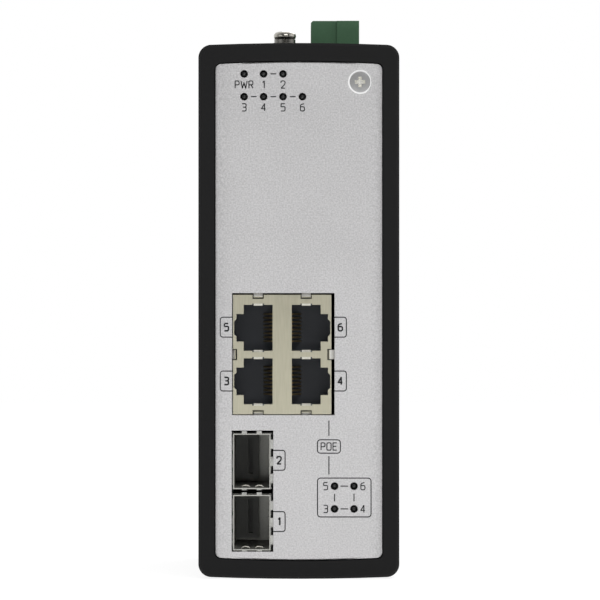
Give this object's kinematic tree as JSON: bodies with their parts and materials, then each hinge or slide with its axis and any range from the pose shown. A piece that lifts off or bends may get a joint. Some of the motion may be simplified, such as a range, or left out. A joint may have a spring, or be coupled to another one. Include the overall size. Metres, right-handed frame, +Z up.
{
  "type": "power over ethernet switch",
  "caption": "Rail-mounted power over ethernet switch: tall ribbed black case, silver front panel with stacked ethernet jacks, optical module cages and lamps, green plug-in terminal on top.",
  "frame": {"origin": "middle of the bottom of the object's box", "axes": "+X to the right seen from the front panel, +Y from the front panel to the rail, +Z up"},
  "size_m": [0.0524, 0.1106, 0.147],
  "materials": {
    "bezel": "fine matte moulded black",
    "panel": "bead-blasted, clear anodised",
    "housing": "satin black anodised",
    "nickel_sheet": "nickel plated sheet",
    "jack_plastic": "moulded black",
    "gold": "gold plated",
    "lamp": "clear epoxy, unlit",
    "terminal": "moulded green",
    "screw": "bright nickel plated",
    "black_screw": "zinc plated, black passivated",
    "insert": "plain brass",
    "clip": "plain extruded",
    "spring_steel": "bright spring steel",
    "board": "green solder mask",
    "chip": "black epoxy",
    "can": "plain can",
    "ferrite": "dark ferrite",
    "socket": "moulded beige"
  },
  "bodies": {
    "root": {"front_bezel": "bezel", "front_panel": "panel", "housing": "housing", "rear_plate": "housing", "jack_shield": "nickel_sheet", "module_cage_1": "nickel_sheet", "module_cage_2": "nickel_sheet", "cage_spring_1": "nickel_sheet", "cage_spring_2": "nickel_sheet", "jack_body": "jack_plastic", "edge_socket_1": "jack_plastic", "edge_socket_2": "jack_plastic", "jack_contacts": "gold", "lamp_power": "lamp", "lamp_link_1": "lamp", "lamp_link_2": "lamp", "lamp_link_3": "lamp", "lamp_link_4": "lamp", "lamp_link_5": "lamp", "lamp_link_6": "lamp", "lamp_feed_3": "lamp", "lamp_feed_4": "lamp", "lamp_feed_5": "lamp", "lamp_feed_6": "lamp", "power_plug": "terminal", "power_header": "terminal", "panel_screw": "screw", "ground_screw": "screw", "ground_lock_washer": "screw", "ground_washer": "screw", "plug_screws": "screw", "plug_clamps": "screw", "header_pins": "screw", "rear_screws": "black_screw", "clip_screws": "black_screw", "ground_insert": "insert", "rail_clip": "clip", "heat_sink": "clip", "capacitors": "clip", "clip_spring": "spring_steel", "main_board": "board", "power_board": "board", "riser_board": "board", "switch_chip": "chip", "flash_chip": "chip", "feed_chip": "chip", "coils": "chip", "lamp_holder_upper": "chip", "lamp_holder_lower": "chip", "crystal": "can", "transformer": "ferrite", "choke": "ferrite", "riser_socket_main": "socket", "riser_socket_power": "socket"}
  },
  "joints": []
}
